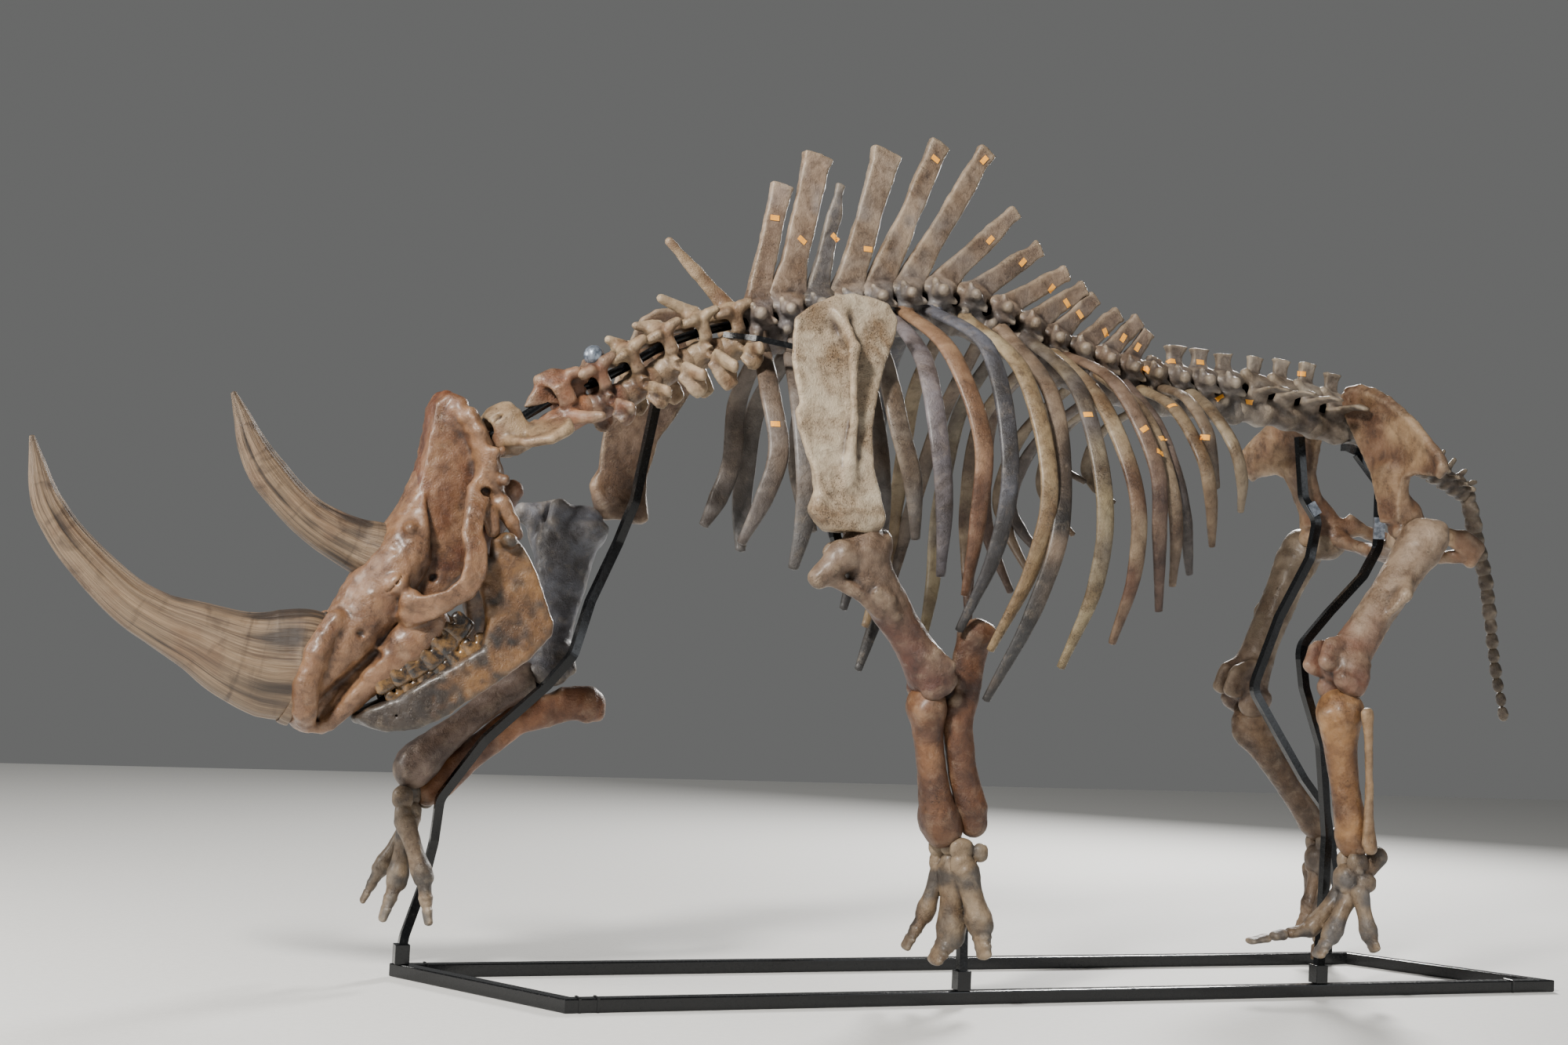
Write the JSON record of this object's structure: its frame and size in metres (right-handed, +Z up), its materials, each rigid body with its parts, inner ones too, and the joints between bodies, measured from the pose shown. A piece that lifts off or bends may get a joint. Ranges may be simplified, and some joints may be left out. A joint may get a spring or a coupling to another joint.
{
  "type": "mounted woolly rhinoceros skeleton",
  "caption": "Mounted skeleton of a woolly rhinoceros with both horns, posed walking, held by bent steel irons on a low slanting frame of black square tube.",
  "frame": {"origin": "on the floor, at the middle of the bounding box in X and Y", "axes": "-X towards the head, +X towards the tail, -Y the animal's left side, +Z up"},
  "size_m": [3.7565, 0.8594, 2.0123],
  "materials": {
    "skull_bone": "satin",
    "horn": "satin",
    "pale_bone": "matte",
    "brown_bone": "satin",
    "grey_bone": "matte",
    "dark_bone": "satin",
    "black_steel": "gloss"
  },
  "bodies": {
    "root": {"atlas": "pale_bone", "axis": "brown_bone", "base_frame": "black_steel", "cervical_3": "brown_bone", "cervical_4": "pale_bone", "cervical_5": "pale_bone", "cervical_6": "pale_bone", "cervical_7": "pale_bone", "frontal_horn": "horn", "left_femur": "pale_bone", "left_fibula": "pale_bone", "left_fore_iron": "black_steel", "left_forefoot": "grey_bone", "left_hind_iron": "black_steel", "left_hindfoot": "grey_bone", "left_humerus": "brown_bone", "left_radius": "brown_bone", "left_scapula": "pale_bone", "left_tibia": "pale_bone", "left_ulna": "brown_bone", "lumbar_vertebrae": "grey_bone", "mandible": "brown_bone", "nasal_horn": "horn", "pelvis": "pale_bone", "right_femur": "pale_bone", "right_fibula": "pale_bone", "right_fore_iron": "black_steel", "right_forefoot": "grey_bone", "right_hind_iron": "black_steel", "right_hindfoot": "grey_bone", "right_humerus": "dark_bone", "right_radius": "grey_bone", "right_scapula": "pale_bone", "right_tibia": "pale_bone", "right_ulna": "grey_bone", "sacrum": "brown_bone", "skull": "skull_bone", "spine_rod": "black_steel", "tail": "dark_bone", "thoracic_01": "grey_bone", "thoracic_02": "grey_bone", "thoracic_03": "grey_bone", "thoracic_04": "grey_bone", "thoracic_05": "grey_bone", "thoracic_06": "grey_bone", "thoracic_07": "grey_bone", "thoracic_08": "grey_bone", "thoracic_09": "grey_bone", "thoracic_10": "grey_bone", "thoracic_11": "grey_bone", "thoracic_12": "grey_bone", "thoracic_13": "grey_bone", "thoracic_14": "grey_bone", "thoracic_15": "grey_bone", "thoracic_16": "grey_bone", "thoracic_17": "grey_bone", "thoracic_18": "grey_bone"}
  },
  "joints": []
}
